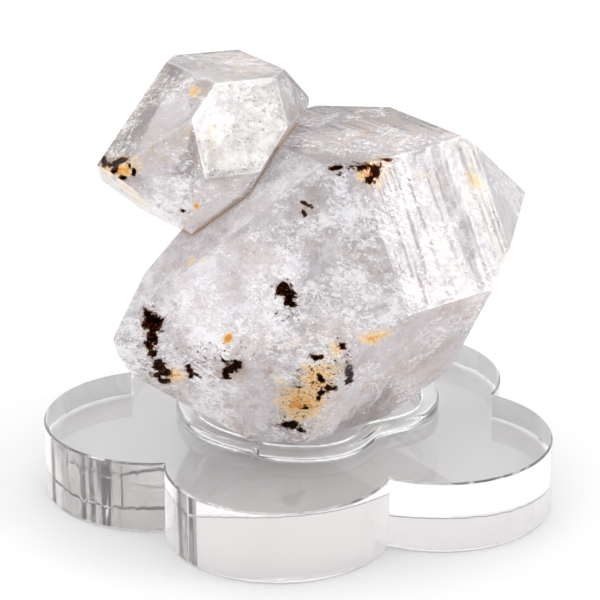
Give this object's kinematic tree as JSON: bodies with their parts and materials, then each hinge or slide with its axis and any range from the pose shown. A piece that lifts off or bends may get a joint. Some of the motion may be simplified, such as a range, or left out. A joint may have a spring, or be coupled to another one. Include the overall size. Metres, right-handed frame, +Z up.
{
  "type": "herkimer diamond on a flower-shaped clear base",
  "caption": "Double-terminated clear quartz crystal with a smaller one grown on it, resting on a clear ring on a thick flower-shaped base.",
  "frame": {"origin": "middle of the object's box, on the base's underside", "axes": "+Z up; +X to the right and +Y away from the viewer of the stone's front"},
  "size_m": [0.0822, 0.076, 0.0713],
  "materials": {
    "quartz": "natural crystal faces, striated and pitted, with veils and iron stains inside",
    "ring_plastic": "clear and glossy",
    "acrylic": "clear, polished top, cut edges with fine upright marks"
  },
  "bodies": {
    "root": {"crystal_pair": "quartz", "rest_ring": "ring_plastic", "flower_base": "acrylic"}
  },
  "joints": []
}
